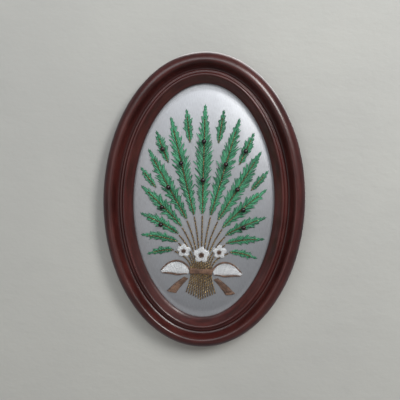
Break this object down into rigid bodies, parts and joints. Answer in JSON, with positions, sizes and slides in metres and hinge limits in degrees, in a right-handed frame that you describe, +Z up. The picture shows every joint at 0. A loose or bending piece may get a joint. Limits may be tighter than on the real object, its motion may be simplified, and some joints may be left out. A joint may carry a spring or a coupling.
{
  "type": "embroidered wall hanging in an oval wood frame",
  "caption": "Oval framed embroidery: raised thread sprays, flowers, a ribbon bow and round beads on a padded satin panel, in a moulded wood frame that hangs on a wall.",
  "frame": {"origin": "centre of the flat back, in the plane where the frame bears on the wall", "axes": "+Z up the long axis of the oval, +Y out of the back into the wall, so the embroidery faces -Y"},
  "size_m": [0.1704, 0.0179, 0.25],
  "materials": {
    "lacquered_wood": "dark wine-brown lacquer, semi-gloss",
    "satin": "silver-white satin weave",
    "board": "plain brown hardboard, matt",
    "leaf_thread": "emerald green stranded thread",
    "stem_thread": "brown-gold twisted thread",
    "white_thread": "white stranded thread",
    "brown_thread": "warm brown stranded thread",
    "bead": "opaque near-black round bead, glossy"
  },
  "bodies": {
    "root": {"backing_board": "board", "bead_1_middle": "bead", "bead_2_middle": "bead", "bead_3_left": "bead", "bead_3_right": "bead", "bead_4_left": "bead", "bead_4_right": "bead", "bead_5_left": "bead", "bead_5_right": "bead", "bead_6_left": "bead", "bead_6_right": "bead", "bead_7_left": "bead", "bead_7_right": "bead", "bow_knot": "brown_thread", "bow_loop_left": "white_thread", "bow_loop_right": "white_thread", "bow_tail_left": "brown_thread", "bow_tail_right": "brown_thread", "flower_1_middle": "white_thread", "flower_2_left": "white_thread", "flower_2_right": "white_thread", "flower_eye_1_middle": "brown_thread", "flower_eye_2_left": "brown_thread", "flower_eye_2_right": "brown_thread", "frame": "lacquered_wood", "satin_panel": "satin", "spray_10_left": "leaf_thread", "spray_10_right": "leaf_thread", "spray_1_middle": "leaf_thread", "spray_2_left": "leaf_thread", "spray_2_right": "leaf_thread", "spray_3_left": "leaf_thread", "spray_3_right": "leaf_thread", "spray_4_left": "leaf_thread", "spray_4_right": "leaf_thread", "spray_5_left": "leaf_thread", "spray_5_right": "leaf_thread", "spray_6_left": "leaf_thread", "spray_6_right": "leaf_thread", "spray_7_left": "leaf_thread", "spray_7_right": "leaf_thread", "spray_8_left": "leaf_thread", "spray_8_right": "leaf_thread", "spray_9_left": "leaf_thread", "spray_9_right": "leaf_thread", "stem_1_middle": "stem_thread", "stem_2_left": "stem_thread", "stem_2_right": "stem_thread", "stem_3_left": "stem_thread", "stem_3_right": "stem_thread", "stem_4_left": "stem_thread", "stem_4_right": "stem_thread", "stem_5_left": "stem_thread", "stem_5_right": "stem_thread", "stem_6_left": "stem_thread", "stem_6_right": "stem_thread", "stem_7_left": "stem_thread", "stem_7_right": "stem_thread"}
  },
  "joints": []
}
